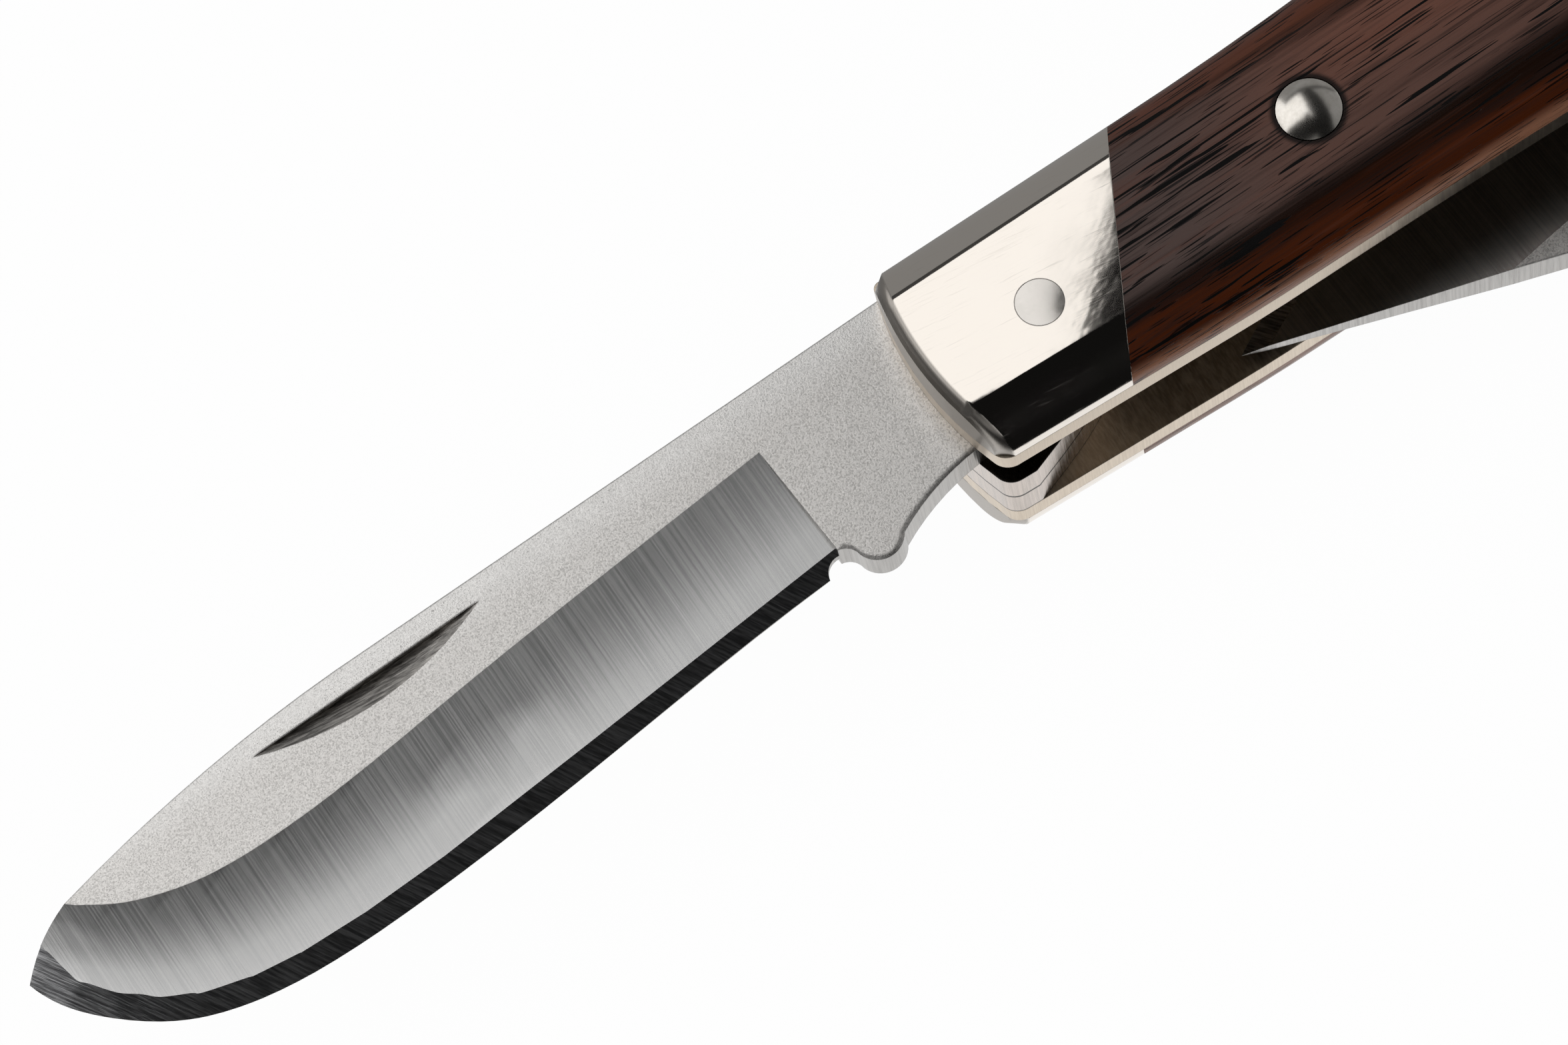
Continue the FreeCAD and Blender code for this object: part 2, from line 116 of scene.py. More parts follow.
class Finish:
    def __init__(self, name):
        self.material = bpy.data.materials.new(name)
        self.material.use_nodes = True
        tree = self.material.node_tree
        self.shader = tree.nodes["Principled BSDF"]
        coordinates = tree.nodes.new("ShaderNodeTexCoord")
        self.place = Wire(coordinates.outputs["Object"])

    # Object coordinates in millimetres, turned by a lean in degrees about Z and stretched
    def grain(self, stretch=(1, 1, 1), lean=0):
        turned = self.place.node("ShaderNodeMapping", {}, {
            "Vector": self.place, "Rotation": (0, 0, math.radians(lean))})
        return turned.node("ShaderNodeMapping", {}, {
            "Vector": turned, "Scale": [1000 * share for share in stretch]})

    def noise(self, vector, scale, detail, rough):
        return vector.node("ShaderNodeTexNoise", {"noise_dimensions": "3D"}, {
            "Vector": vector, "Scale": scale, "Detail": detail, "Roughness": rough})

    def step(self, value, low, high, toLow=0.0, toHigh=1.0):
        return value.node("ShaderNodeMapRange", {"interpolation_type": "SMOOTHSTEP"}, {
            "Value": value, "From Min": low, "From Max": high, "To Min": toLow, "To Max": toHigh})

    def blend(self, factor, first, second):
        sides = {0: factor}
        for key, color in ((6, first), (7, second)):
            sides[key] = color if isinstance(color, Wire) else (*color, 1)
        return factor.node("ShaderNodeMix", {"data_type": "RGBA"}, sides, 2)

    # Place along one axis, in millimetres
    def along(self, axis):
        return self.place.node("ShaderNodeSeparateXYZ", {}, {0: self.place}, axis) * 1000

    # Distance in millimetres from two upright axes, each as far from the middle of the handle
    def fromAxis(self, x, y):
        across = abs(self.along(0)) - x
        above = self.along(1) - y
        return (across * across + above * above).root()

    # The surface's own normal, smoothed
    def ownNormal(self):
        return self.place.node("ShaderNodeNewGeometry", {}, {}, 1)

    def edgeNormal(self, radius):
        return self.place.node("ShaderNodeBevel", {"samples": 6}, {"Radius": radius})

    # How far a rounded edge turns the surface away from its own face
    def edgeTurn(self, rounded, turned=(0.93, 0.998)):
        own = self.ownNormal()
        facing = own.node("ShaderNodeVectorMath", {"operation": "DOT_PRODUCT"}, {0: rounded, 1: own}, 1)
        return self.step(facing, *turned, 1, 0)

    def bump(self, height, depth, normal=None):
        sockets = {"Height": height, "Distance": depth, "Strength": 1.0}
        if normal:
            sockets["Normal"] = normal
        return height.node("ShaderNodeBump", {}, sockets)

    def set(self, **values):
        names = {"color": "Base Color", "roughness": "Roughness", "metallic": "Metallic", "normal": "Normal",
                 "specular": "Specular IOR Level"}
        for key, value in values.items():
            socket = self.shader.inputs[names[key]]
            if isinstance(value, Wire):
                self.material.node_tree.links.new(value.socket, socket)
            else:
                socket.default_value = value
        return self.material


# Blade flats: tumbled in stones, so mottled and finely pitted, with edges rounded most under the tang,
# a painted highlight along the spine, and painted dark reflection on the rounded tang edges.
# Edges and depths are in metres, and places in millimetres.
tumbled = {"pale": (0.86, 0.835, 0.805), "dark": (0.52, 0.505, 0.485), "tone": (0.395, 0.57),
           "mottle": 1.5, "mottleDetail": (5.0, 0.75), "mottleShare": 0.3,
           "speck": 9.0, "speckDetail": (3.0, 0.7), "speckShare": 0.7,
           "pit": (0.22, 0.21, 0.20), "pits": (0.60, 0.70), "pitShare": 0.22, "pitDepth": 0.6,
           "paintedHighlight": (0.97, 0.965, 0.95), "paintedHighlightReach": (0.3, 2.6), "paintedHighlightShare": 0.4,
           "spineHeight": 6.35, "spineLean": 0.066,
           "edge": 0.00014, "tangEdge": 0.00045, "tangReach": (38.5, 56.5), "tangSoft": 0.4,
           "tangTop": (2.5, 3.5),
           "worn": (0.13, 0.125, 0.12), "reflectionTurn": (0.45, 0.95), "wearAndReflectionShare": 0.85,
           "depth": 0.000010, "gloss": (0.27, 0.36), "wornGloss": 0.09}


def tumbledSteel():
    finish = Finish("tumbledSteel")
    grain = finish.grain()
    mottle = finish.noise(grain, tumbled["mottle"], *tumbled["mottleDetail"])
    specks = finish.noise(grain, tumbled["speck"], *tumbled["speckDetail"])
    pits = finish.step(specks, *tumbled["pits"])
    cloud = mottle * tumbled["mottleShare"] + specks * tumbled["speckShare"]
    color = finish.blend(finish.step(cloud, *tumbled["tone"]), tumbled["dark"], tumbled["pale"])
    color = finish.blend(pits * tumbled["pitShare"], color, tumbled["pit"])
    along, height = finish.along(0), finish.along(1)
    # Painted highlight: a paler band along the spine
    fromSpine = tumbled["spineHeight"] - height + (along + knife["pivot"]) * tumbled["spineLean"]
    spineHighlight = finish.step(fromSpine, *tumbled["paintedHighlightReach"], tumbled["paintedHighlightShare"], 0)
    color = finish.blend(spineHighlight, color, tumbled["paintedHighlight"])
    inner, outer = tumbled["tangReach"]
    soft = tumbled["tangSoft"]
    tang = finish.step(abs(along), outer - soft, outer, 1, 0) * finish.step(abs(along), inner, inner + soft)
    tang = tang * finish.step(height, *tumbled["tangTop"], 1, 0)
    rounded = finish.edgeNormal(tang * (tumbled["tangEdge"] - tumbled["edge"]) + tumbled["edge"])
    edgeTurn = finish.edgeTurn(rounded)
    # Painted dark reflection on the rounded tang edges, where they turn away from the flat; their lower
    # roughness is real wear
    worn = finish.step(edgeTurn, *tumbled["reflectionTurn"]) * tang * tumbled["wearAndReflectionShare"]
    color = finish.blend(worn, color, tumbled["worn"])
    normal = finish.bump(specks - pits * tumbled["pitDepth"], tumbled["depth"], rounded)
    roughness = finish.step(mottle, *noiseSpread, *tumbled["gloss"])
    roughness = roughness * (1 - edgeTurn) + edgeTurn * tumbled["wornGloss"]
    return finish.set(color=color, metallic=1.0, roughness=roughness, normal=normal)


# A metal with fine lines that are paler and rougher in turn. marked adds what else is on it to the colour.
def linedMetal(name, facts, marked=None):
    finish = Finish(name)
    grain = finish.grain(facts["stretch"], facts.get("lean", 0))
    lines = finish.noise(grain, facts["line"], *facts["detail"])
    color = finish.blend(finish.step(lines, *facts["tone"]), facts["dark"], facts["pale"])
    if marked:
        color = marked(finish, color)
    rounded = finish.edgeNormal(facts["edge"]) if "edge" in facts else None
    gloss = facts["gloss"]
    roughness = finish.step(lines, *noiseSpread, *gloss) if isinstance(gloss, tuple) else gloss
    normal = finish.bump(lines, facts["depth"], rounded)
    return finish.set(color=color, metallic=1.0, roughness=roughness, normal=normal)


# Hollow grind: fine wheel lines straight across the blade, and a few paler scratches
hollow = {"pale": (0.82, 0.815, 0.805), "dark": (0.66, 0.66, 0.655), "tone": (0.3, 0.7),
          "line": 11.0, "stretch": (1, 0.006, 0.006), "lean": -3, "detail": (3.0, 0.6),
          "scratch": 3.0, "scratchLean": 2, "scratchDetail": (4.0, 0.75),
          "scratches": (0.66, 0.72), "scratchShare": 0.35, "depth": 0.0000008, "gloss": (0.21, 0.26)}


def wheelScratches(finish, color):
    grain = finish.grain(hollow["stretch"], hollow["scratchLean"])
    lines = finish.noise(grain, hollow["scratch"], *hollow["scratchDetail"])
    scratches = finish.step(lines, *hollow["scratches"]) * hollow["scratchShare"]
    return finish.blend(scratches, color, hollow["pale"])


# Sharpening bevel: coarse slanting stone marks
sharpened = {"pale": (0.52, 0.52, 0.53), "dark": (0.16, 0.16, 0.165), "tone": (0.35, 0.7),
             "line": 9.0, "stretch": (1, 0.05, 0.05), "lean": -34, "detail": (3.0, 0.65),
             "depth": 0.00002, "gloss": 0.28}

# Narrow edges of the blades, ground straight across their thickness
ground = {"pale": (0.56, 0.545, 0.525), "dark": (0.34, 0.33, 0.315), "tone": (0.3, 0.72),
          "line": 7.0, "stretch": (1, 1, 0.03), "detail": (3.0, 0.6), "edge": 0.00012,
          "depth": 0.00002, "gloss": (0.26, 0.38)}

# Nail nick: left dark and streaked by its cutter
nick = {"pale": (0.72, 0.69, 0.65), "dark": (0.20, 0.19, 0.18), "tone": (0.35, 0.7),
        "line": 6.0, "stretch": (0.12, 1, 1), "lean": 4, "detail": (4.0, 0.7),
        "depth": 0.00002, "gloss": 0.34}

# Liners: nickel silver with a fine grain across their edges
lining = {"pale": (0.74, 0.645, 0.53), "dark": (0.57, 0.48, 0.38), "tone": (0.3, 0.7),
          "line": 8.0, "stretch": (1, 0.2, 0.04), "detail": (3.0, 0.6), "edge": 0.0001,
          "depth": 0.000008, "gloss": (0.28, 0.4)}

# Springs: oiled steel, with painted shade where one layer meets the next. Layers are in millimetres, a seam a
# share of one.
spring = {"pale": (0.66, 0.585, 0.53), "dark": (0.46, 0.41, 0.37), "tone": (0.3, 0.7),
          "line": 6.0, "stretch": (1, 1, 0.03), "detail": (3.0, 0.6), "edge": 0.0001,
          "seam": (0.03, 0.026, 0.022), "seamShadeReach": (0.025, 0.055), "lowest": 4.2, "layer": 2.05,
          "depth": 0.000008, "gloss": (0.22, 0.32)}


def layerSeamShade(finish, color):
    layer = (finish.along(2) - spring["lowest"]) / spring["layer"] + 0.5
    fromSeam = abs(layer.maths("FRACT", layer) - 0.5)
    # Painted shade in the seams between layers
    return finish.blend(finish.step(fromSeam, *spring["seamShadeReach"], 1, 0), color, spring["seam"])


# Bolsters: buffed bright and a little wavy, with faint hair lines along the handle, a softer shine
# on their rolled edges, and satin with painted shade on their rounded ends
polished = {"pale": (0.82, 0.765, 0.70), "dull": (0.70, 0.65, 0.59), "satin": (0.42, 0.39, 0.355),
            "hair": 8.0, "hairStretch": (0.05, 1, 1), "hairLean": 5, "hairDetail": (4.0, 0.7),
            "hairDepth": 0.00000012, "marks": (0.56, 0.70), "markShare": 0.4,
            "wave": 0.55, "waveStretch": (0.5, 1, 1), "waveLean": -28, "waveDetail": (3.0, 0.55),
            "waveDepth": 0.0000022, "haze": 0.35, "hazeDetail": (4.0, 0.6), "edge": 0.00005,
            "satinAndShadeReach": (0.50, 0.62), "roll": (6.7, 7.2), "gloss": (0.03, 0.055),
            "markGloss": 0.025, "rollGloss": 0.045, "rollMarkGloss": 0.10, "satinGloss": 0.26}


def polishedNickel():
    finish = Finish("polishedNickel")
    hairGrain = finish.grain(polished["hairStretch"], polished["hairLean"])
    hairs = finish.noise(hairGrain, polished["hair"], *polished["hairDetail"])
    haze = finish.noise(finish.grain(), polished["haze"], *polished["hazeDetail"])
    waveGrain = finish.grain(polished["waveStretch"], polished["waveLean"])
    waves = finish.noise(waveGrain, polished["wave"], *polished["waveDetail"])
    marks = finish.step(hairs, *polished["marks"])
    color = finish.blend(marks * polished["markShare"], polished["pale"], polished["dull"])
    lean = (finish.along(1) - knife["endApex"]) / knife["endRadius"]
    upright = (1 - lean * lean).root()
    fromEnd = knife["half"] - abs(finish.along(0)) - (1 - upright) * knife["endRadius"]
    # Rounded ends: satin and rougher, with a darker colour that is painted shade
    satin = finish.step(fromEnd, *polished["satinAndShadeReach"], 1, 0)
    roll = finish.step(abs(finish.along(2) - knife["middle"]), *polished["roll"], 1, 0)
    color = finish.blend(satin, color, polished["satin"])
    normal = finish.bump(waves, polished["waveDepth"], finish.edgeNormal(polished["edge"]))
    normal = finish.bump(hairs, polished["hairDepth"], normal)
    roughness = finish.step(haze, *noiseSpread, *polished["gloss"])
    roughness = roughness + marks * (roll * polished["rollMarkGloss"] + polished["markGloss"])
    roughness = roughness + roll * polished["rollGloss"] + satin * polished["satinGloss"]
    return finish.set(color=color, metallic=1.0, roughness=roughness, normal=normal)


# Pins: steel, peened and buffed to a very low dome of this radius in millimetres
pinHead = {"pale": (0.70, 0.665, 0.625), "dull": (0.64, 0.61, 0.57), "tone": (0.35, 0.65),
           "haze": 1.2, "hazeDetail": (4.0, 0.6), "edge": 0.00003, "dome": 130.0, "gloss": (0.06, 0.09)}


def pinMetal():
    finish = Finish("pinMetal")
    haze = finish.noise(finish.grain(), pinHead["haze"], *pinHead["hazeDetail"])
    color = finish.blend(finish.step(haze, *pinHead["tone"]), pinHead["dull"], pinHead["pale"])
    reach = finish.fromAxis(knife["pivot"], 0)
    dome = reach * reach * (-0.5 / pinHead["dome"])
    normal = finish.bump(dome, 0.001, finish.edgeNormal(pinHead["edge"]))  # the dome is in millimetres
    roughness = finish.step(haze, *noiseSpread, *pinHead["gloss"])
    return finish.set(color=color, metallic=1.0, roughness=roughness, normal=normal)


# Domed rivets: satin nickel silver, buffed lower in the middle
rivetHead = {"pale": (0.84, 0.80, 0.74), "dull": (0.72, 0.68, 0.62), "tone": (0.35, 0.65),
             "haze": 1.6, "hazeDetail": (4.0, 0.6), "flatten": 2.0, "gloss": 0.19}


def rivetMetal():
    finish = Finish("rivetMetal")
    haze = finish.noise(finish.grain(), rivetHead["haze"], *rivetHead["hazeDetail"])
    color = finish.blend(finish.step(haze, *rivetHead["tone"]), rivetHead["dull"], rivetHead["pale"])
    own = finish.ownNormal()
    flatter = (1, 1, rivetHead["flatten"])
    low = own.node("ShaderNodeVectorMath", {"operation": "MULTIPLY"}, {0: own, 1: flatter})
    normal = low.node("ShaderNodeVectorMath", {"operation": "NORMALIZE"}, {0: low})
    return finish.set(color=color, metallic=1.0, roughness=rivetHead["gloss"], normal=normal)


# Rosewood: a violet-brown face made paler by painted sheen, over golden red rolled edges with a band of painted
# shade, dark stripes, and long open black pores that crowd by the bolsters. Patterns are stretched along the
# handle, and places are in millimetres.
rosewood = {"face": (0.099, 0.049, 0.037), "dusk": (0.071, 0.046, 0.040), "warm": (0.134, 0.056, 0.038),
            "gold": (0.052, 0.0095, 0.0008), "shade": (0.009, 0.0028, 0.0010), "back": (0.088, 0.026, 0.012),
            "red": (0.100, 0.032, 0.018), "deep": (0.017, 0.0065, 0.0045), "pore": (0.0012, 0.0009, 0.0009),
            "worn": (0.25, 0.115, 0.066), "lean": -3.0,
            "stripes": ((0.020, 0.55, 0.55), (5.0, 0.65)), "threads": ((0.10, 6.0, 6.0), (4.0, 0.65)),
            "warmth": ((0.03, 0.25, 0.25), (2.0, 0.5)), "gashes": ((0.17, 4.0, 4.0), (1.5, 0.45)),
            "pores": ((0.22, 9.0, 9.0), (1.5, 0.45)),
            "stripeSway": 2.2, "threadSway": 1.2, "warmthSway": 1.2,
            "flat": (-2.5, -1.7, 4.5, 5.7), "climb": 0.05, "climbFrom": 36, "shadeDrop": 1.1,
            "warmReach": (22, 31), "warmHeight": (-0.5, 3.5), "crowd": (27, 36), "crowding": 0.070,
            "redStripes": (0.34, 0.48), "redShare": 0.55, "deepStripes": (0.50, 0.68), "stripeShare": 0.75,
            "deepThreads": (0.48, 0.72), "threadShare": 0.65, "cracks": (0.660, 0.674),
            "finePores": (0.61, 0.65), "fineShare": 0.85, "wearAndReflectionReach": (5.05, 5.95), "wearAndReflectionShare": 0.85,
            "rivet": (26.65, 1.4), "ring": (1.72, 2.02), "ringShare": 0.9,
            "threadDepth": 0.10, "fineDepth": 0.4, "depth": 0.00008,
            "gloss": (0.24, 0.32), "crackGloss": 0.45, "specular": 0.22}


def rosewoodGrain():
    finish = Finish("rosewoodGrain")

    def pattern(name):
        stretch, detail = rosewood[name]
        return finish.noise(finish.grain(stretch, rosewood["lean"]), 1.0, *detail)

    stripes, threads, warmth = pattern("stripes"), pattern("threads"), pattern("warmth")
    gashes, pores = pattern("gashes"), pattern("pores")
    reach = abs(finish.along(0))
    height = finish.along(1) + (warmth - 0.5) * rosewood["warmthSway"]
    height = height + (stripes - 0.5) * rosewood["stripeSway"] + (threads - 0.5) * rosewood["threadSway"]
    lift = finish.step(reach, 0, rosewood["climbFrom"], 1, 0) * (rosewood["climbFrom"] * rosewood["climb"])
    low, lowEnd, high, highEnd = rosewood["flat"]
    # The face's colours are the wood's with a painted sheen; below and above the flat the rolled edges keep
    # deeper colours
    face = finish.blend(finish.step(reach, *rosewood["crowd"]), rosewood["face"], rosewood["dusk"])
    warmed = finish.step(reach, *rosewood["warmReach"], 1, 0) * finish.step(height, *rosewood["warmHeight"])
    face = finish.blend(warmed, face, rosewood["warm"])
    # A band of painted shade on the lower rolled edge, with gold at its foot
    shaded = finish.step(height, low - rosewood["shadeDrop"], low)
    roll = finish.blend(shaded, rosewood["gold"], rosewood["shade"])
    roll = finish.blend(finish.step(height, 0, high), roll, rosewood["back"])
    onFlat = finish.step(height - lift, low, lowEnd) * finish.step(height, high, highEnd, 1, 0)
    color = finish.blend(onFlat, roll, face)
    reddened = finish.step(stripes, *rosewood["redStripes"], rosewood["redShare"], 0)
    color = finish.blend(reddened, color, rosewood["red"])
    darkStripes = finish.step(stripes, *rosewood["deepStripes"]) * rosewood["stripeShare"]
    darkThreads = finish.step(threads, *rosewood["deepThreads"]) * rosewood["threadShare"]
    for darker in (darkStripes, darkThreads):
        color = finish.blend(darker, color, rosewood["deep"])
    fromMiddle = abs(finish.along(2) - knife["middle"])
    # A strip on the wood's side above the liner: worn free of pores, and painted paler as a painted sheen
    worn = finish.step(fromMiddle, *rosewood["wearAndReflectionReach"], rosewood["wearAndReflectionShare"], 0)
    crowding = finish.step(reach, *rosewood["crowd"], 0, rosewood["crowding"])
    cracks = finish.step(gashes + crowding, *rosewood["cracks"]) * (1 - worn)
    fine = finish.step(pores, *rosewood["finePores"]) * rosewood["fineShare"]
    # A dark ring round each rivet, in the pores' colour
    ring = finish.step(finish.fromAxis(*rosewood["rivet"]), *rosewood["ring"], rosewood["ringShare"], 0)
    color = finish.blend(worn, color, rosewood["worn"])
    for darkMarks in (fine, cracks, ring):
        color = finish.blend(darkMarks, color, rosewood["pore"])
    relief = threads * rosewood["threadDepth"] - cracks - fine * rosewood["fineDepth"]
    normal = finish.bump(relief, rosewood["depth"])
    roughness = finish.step(threads, *noiseSpread, *rosewood["gloss"]) + cracks * rosewood["crackGloss"]
    return finish.set(color=color, roughness=roughness, normal=normal, specular=rosewood["specular"])


# How copies of the CAD meshes are made one surface and smoothed: metres and degrees
smoothing = {"merge": 1e-6, "sharp": 28}


# A node's mesh as one closed surface, ready for smooth shading
def mergedMesh(node):
    source = frame["nodes"][node].data
    mesh = bpy.data.meshes.new(node)
    corners = [vertex.co[:] for vertex in source.vertices]
    mesh.from_pydata(corners, [], [face.vertices[:] for face in source.polygons])
    work = bmesh.new()
    work.from_mesh(mesh)
    bmesh.ops.remove_doubles(work, verts=work.verts, dist=smoothing["merge"])
    work.to_mesh(mesh)
    work.free()
    return mesh


# Normals follow the larger faces, so flats stay flat beside their rounded edges
def settle(piece):
    weighted = piece.modifiers.new("weighted", "WEIGHTED_NORMAL")
    weighted.keep_sharp = True
    bpy.context.view_layer.update()
    evaluated = piece.evaluated_get(bpy.context.evaluated_depsgraph_get())
    plain = bpy.data.meshes.new_from_object(evaluated)
    piece.modifiers.clear()
    piece.data = plain


def fit(piece, node):
    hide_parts(node)
    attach(piece, next(body for body, nodes in frame["record"]["behaviour"]["bodies"].items() if node in nodes))


def newPiece(name, mesh):
    piece = bpy.data.objects.new(name, mesh)
    scene.collection.objects.link(piece)
    return piece


def dress(node, name, finish, angle=smoothing["sharp"]):
    mesh = mergedMesh(node)
    mesh.materials.append(finish)
    mesh.shade_smooth()
    mesh.set_sharp_from_angle(angle=math.radians(angle))
    piece = newPiece(name, mesh)
    settle(piece)
    fit(piece, node)
    return piece


# Blades as they lie at rest: turn of a blade's own axis, side of its spine, and in its own axes
# the ends of the nail nick's upper line, in metres from the pivot and towards the spine
blades = {
    "spey": {"turn": 180, "upright": -1, "nick": ((0.0297, 0.00319), (0.0427, 0.00224))},
    "clip": {"turn": -176, "upright": 1, "nick": ((0.0308, 0.00439), (0.0462, 0.00427))},
    "sheepsfoot": {"turn": -175, "upright": 1, "nick": ((0.0227, 0.0036), (0.0346, 0.00276))},
}
bladeZones = {"flat": 1.4, "hollow": 12.6, "bevel": 24.0}  # steepest tilt of each from the flats, in degrees
sideZone, nickZone = 3, 4  # after those three
nickReach = (-0.0017, 0.0003)  # below and above its line, in metres
# Lines between zones: new points at shares of an edge. Sharper corners, in degrees, and shorter edges stay.
easing = {"shares": (0.25, 0.5, 0.75), "corner": 42, "shortest": 0.00005}


# A point of a blade along its own axis from the pivot, and towards its spine
def bladePoint(point, pivot, facts):
    turned = Matrix.Rotation(math.radians(-facts["turn"]), 2) @ Vector((point.x - pivot, point.y))
    return turned.x, turned.y * facts["upright"]


def bladeZone(face, pivot, facts):
    tilt = math.degrees(math.acos(min(1.0, abs(face.normal.z))))
    along, height = bladePoint(face.center, pivot, facts)
    (startAlong, startHeight), (endAlong, endHeight) = facts["nick"]
    share = (along - startAlong) / (endAlong - startAlong)
    aboveLine = height - startHeight - share * (endHeight - startHeight)
    if tilt > bladeZones["flat"] and 0 < share < 1 and nickReach[0] < aboveLine < nickReach[1]:
        return nickZone
    for number, steepest in enumerate(bladeZones.values()):
        if tilt < steepest:
            return number
    return sideZone


# Points that round off the corners of a line between two zones, at shares of each edge
def easedLine(work, zones):
    line = [edge for edge in work.edges if {face.material_index for face in edge.link_faces} == zones]
    meeting = {}
    for edge in line:
        for vertex in edge.verts:
            meeting.setdefault(vertex, []).append(edge)

    def onward(edge, vertex):
        here, back = vertex.co, edge.other_vert(vertex).co
        others = [other for other in meeting[vertex] if other != edge]
        if len(others) == 1:
            ahead = others[0].other_vert(vertex).co
            if (here - back).angle(ahead - here) < math.radians(easing["corner"]):
                return ahead
        return here * 2 - back

    points = {}
    for edge in line:
        if edge.calc_length() < easing["shortest"]:
            continue
        first, last = edge.verts
        before, a, b, after = onward(edge, first), first.co, last.co, onward(edge, last)
        points[edge] = [a + ((b - before) * t + (2 * before - 5 * a + 4 * b - after) * t * t
                             + (3 * a - before - 3 * b + after) * t ** 3) / 2 for t in easing["shares"]]
    for edge, places in points.items():
        start, end = edge.verts
        for place in places:
            start = bmesh.utils.edge_split(edge, start, 0.5)[1]
            start.co = place
            edge = next(piece for piece in start.link_edges if end in piece.verts)
    bmesh.ops.triangulate(work, faces=[face for face in work.faces if len(face.verts) > 3])
    dropFolds(work)


# Two faces on the same corners are a fold with nothing in it
def dropFolds(work):
    folds = True
    while folds:
        sharing = {}
        for face in work.faces:
            sharing.setdefault(frozenset(face.verts), []).append(face)
        folds = [face for faces in sharing.values() if len(faces) > 1 for face in faces]
        bmesh.ops.delete(work, geom=folds, context="FACES")


def dressBlade(name, facts, finishes):
    node = name + "_blade"
    mesh = mergedMesh(node)
    for finish in finishes:
        mesh.materials.append(finish)
    for face in mesh.polygons:
        face.material_index = bladeZone(face, pivots[name], facts)
        face.use_smooth = True
    work = bmesh.new()
    work.from_mesh(mesh)
    for zones in ({0, 1}, {1, 2}):  # flat to hollow, and hollow to bevel
        easedLine(work, zones)
    for edge in work.edges:
        zones = {face.material_index for face in edge.link_faces}
        edge.smooth = len(zones) == 1 and edge.calc_face_angle(0) < math.radians(smoothing["sharp"])
    work.to_mesh(mesh)
    work.free()
    piece = newPiece(name + "Ground", mesh)
    settle(piece)
    fit(piece, node)


# Bolster ends: how far the chamfer and the inner and joint faces look outwards, and a depth in metres
bolsterEnd = {"chamfer": (0.5, 0.93), "inner": -0.9, "joint": -0.5, "depth": 0.0008, "sharp": 62}


# Shading that runs across a bolster's chamfered end as over a small round
def easeEnd(piece, along, side):
    mesh = piece.data
    radius, apex = knife["endRadius"] / 1000, knife["endApex"] / 1000
    reach = max(along * vertex.co.x for vertex in mesh.vertices)
    low, high = bolsterEnd["chamfer"]
    kinds = []
    for face in mesh.polygons:
        lean = (face.center.y - apex) / radius
        upright = math.sqrt(1 - lean * lean)
        facing = face.normal.dot(Vector((along * upright, lean, 0)))
        hidden = face.normal.z * side < bolsterEnd["inner"] or facing < bolsterEnd["joint"]
        atEnd = along * face.center.x > reach - radius * (1 - upright) - bolsterEnd["depth"]
        kinds.append("hidden" if hidden else "chamfer" if atEnd and low < facing < high else "outer")
    sums, eased = {}, set()
    for face, kind in zip(mesh.polygons, kinds):
        for vertex in face.vertices:
            if kind == "outer":
                sums[vertex] = sums.get(vertex, Vector()) + face.normal * face.area
            elif kind == "chamfer":
                eased.add(vertex)
    normals = [corner.vector.copy() for corner in mesh.corner_normals]
    for face, kind in zip(mesh.polygons, kinds):
        for corner in face.loop_indices:
            vertex = mesh.loops[corner].vertex_index
            if kind != "hidden" and vertex in sums and vertex in eased:
                normals[corner] = sums[vertex].normalized()
    mesh.normals_split_custom_set(normals)


# In the order of the zones
bladeFinishes = [tumbledSteel(), linedMetal("hollowSteel", hollow, wheelScratches),
                 linedMetal("sharpenedSteel", sharpened), linedMetal("groundSteel", ground),
                 linedMetal("nickSteel", nick)]
for name, facts in blades.items():
    dressBlade(name, facts, bladeFinishes)
print("blades dressed")

woodFinish = rosewoodGrain()
bolsterFinish = polishedNickel()
linerFinish = linedMetal("linerMetal", lining)
pinFinish = pinMetal()
rivetFinish = rivetMetal()
springFinish = linedMetal("springSteel", spring, layerSeamShade)
for side in ("near", "far"):
    dress(side + "_scale", side + "Wood", woodFinish)
    dress(side + "_liner", side + "Lining", linerFinish)
    for end in ("front", "rear"):
        title = side + end.title()
        bolster = dress(f"{side}_{end}_bolster", title + "Bolster", bolsterFinish,
                        bolsterEnd["sharp"])
        easeEnd(bolster, -1 if end == "front" else 1, 1 if side == "near" else -1)
        dress(f"{side}_{end}_rivet", title + "Rivet", rivetFinish)
for name in blades:
    dress(name + "_spring", name + "BackSpring", springFinish)
for node in ("front_pivot_pin", "rear_pivot_pin", "spring_pin"):
    first, *rest = node.split("_")
    dress(node, first + "".join(word.title() for word in rest), pinFinish)
print("handle dressed")


# Camera as the photograph was taken, close above the open blade
view = {"place": (-0.08325, -0.10465, 0.29176), "right": (0.85498, -0.50702, -0.10923),
        "up": (0.51179, 0.79060, 0.33617), "lens": 145.41, "sensor": 36.0, "nearest": 0.01}


def setCamera():
    data = bpy.data.cameras.new("photoCamera")
    data.lens = view["lens"]
    data.sensor_width = view["sensor"]
    data.sensor_fit = "HORIZONTAL"
    data.clip_start = view["nearest"]
    right = Vector(view["right"]).normalized()
    back = right.cross(Vector(view["up"])).normalized()
    up = back.cross(right)
    matrix = Matrix((right, up, back)).transposed().to_4x4()
    matrix.translation = Vector(view["place"])
    camera = bpy.data.objects.new("photoCamera", data)
    camera.matrix_world = matrix
    scene.collection.objects.link(camera)
    scene.camera = camera


# A card between two edges that run along X, each given by its Y and Z
def sheet(left, right, firstEdge, lastEdge):
    return [(left, *firstEdge), (right, *firstEdge), (right, *lastEdge), (left, *lastEdge)]


